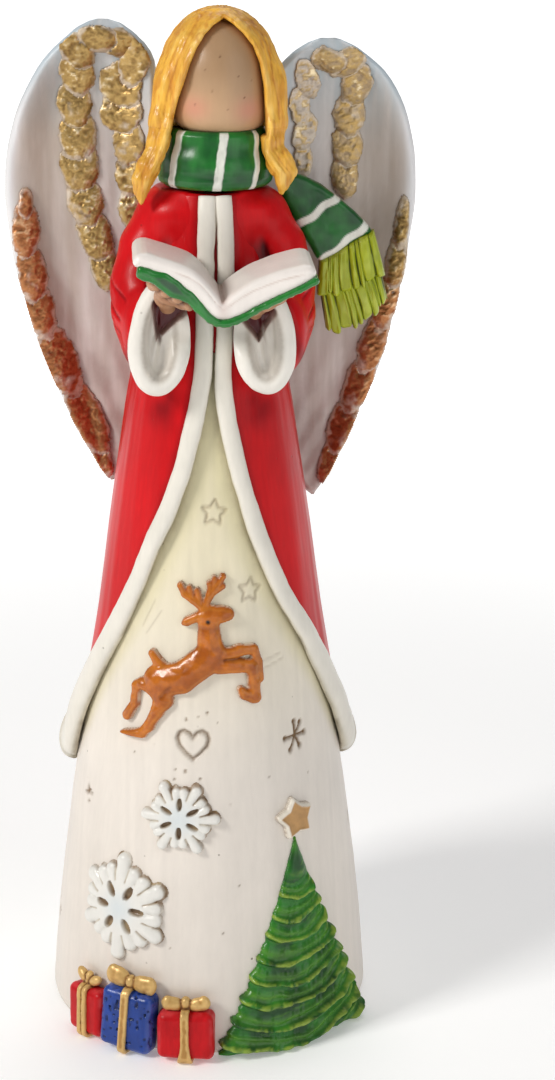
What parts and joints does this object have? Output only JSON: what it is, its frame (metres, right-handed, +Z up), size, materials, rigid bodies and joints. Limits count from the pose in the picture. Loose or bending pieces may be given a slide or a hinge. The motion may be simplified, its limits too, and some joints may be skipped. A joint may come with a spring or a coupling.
{
  "type": "resin angel figurine",
  "caption": "Standing winged angel in a long open coat and scarf, holding an open book, with holiday shapes in relief on the round gown.",
  "frame": {"origin": "middle of the flat rest face under the gown", "axes": "+Z up, -Y towards the front of the figurine, +X towards the viewer's right"},
  "size_m": [0.0913, 0.0786, 0.23],
  "materials": {
    "felt": "short dark green felt",
    "gown_paint": "cast resin, cream paint with a brown antique wash, satin clear coat",
    "coat_paint": "cast resin, red paint with darker recesses, gloss clear coat",
    "trim_paint": "cast resin, off-white paint, satin clear coat",
    "skin_paint": "cast resin, tan paint with blushed cheeks, satin",
    "hair_paint": "cast resin, golden yellow paint with orange strands, gloss",
    "scarf_paint": "cast resin, dark green paint with off-white stripes, gloss",
    "fringe_paint": "cast resin, lime green paint with dark grooves, satin",
    "page_paint": "cast resin, pinkish white paint, satin",
    "cover_paint": "cast resin, green paint, gloss",
    "wing_paint": "cast resin, white paint with grey-blue and brown washes, satin",
    "gilding": "worn gold metallic paint",
    "copper_gilding": "worn copper metallic paint",
    "deer_paint": "cast resin, orange-brown paint, gloss",
    "snow_paint": "cast resin, white paint with brown antiqued edges",
    "tree_paint": "cast resin, green paint dry-brushed yellow-green on the ridges",
    "gift_red": "cast resin, red paint, gloss",
    "gift_blue": "cast resin, blue paint, gloss"
  },
  "bodies": {
    "root": {"felt_pad": "felt", "gown": "gown_paint", "coat": "coat_paint", "sleeve_left": "coat_paint", "sleeve_right": "coat_paint", "trim_left": "trim_paint", "trim_right": "trim_paint", "hem_trim": "trim_paint", "cuff_left": "trim_paint", "cuff_right": "trim_paint", "head": "skin_paint", "hand_left": "skin_paint", "hand_right": "skin_paint", "hair_cap": "hair_paint", "hair_back": "hair_paint", "hair_lock_left": "hair_paint", "hair_lock_right": "hair_paint", "scarf_wrap": "scarf_paint", "scarf_tail": "scarf_paint", "scarf_fringe_upper": "fringe_paint", "scarf_fringe_lower": "fringe_paint", "book_pages": "page_paint", "book_cover": "cover_paint", "wing_left": "wing_paint", "wing_right": "wing_paint", "feathers_inner_left": "gilding", "feathers_middle_left": "gilding", "feathers_inner_right": "gilding", "feathers_middle_right": "gilding", "gift_ribbon_left": "gilding", "gift_ribbon_middle": "gilding", "gift_ribbon_right": "gilding", "tree_star": "gilding", "feathers_edge_left": "copper_gilding", "feathers_edge_right": "copper_gilding", "reindeer": "deer_paint", "snowflake_large": "snow_paint", "snowflake_small": "snow_paint", "tree": "tree_paint", "gift_left": "gift_red", "gift_right": "gift_red", "gift_middle": "gift_blue"}
  },
  "joints": []
}
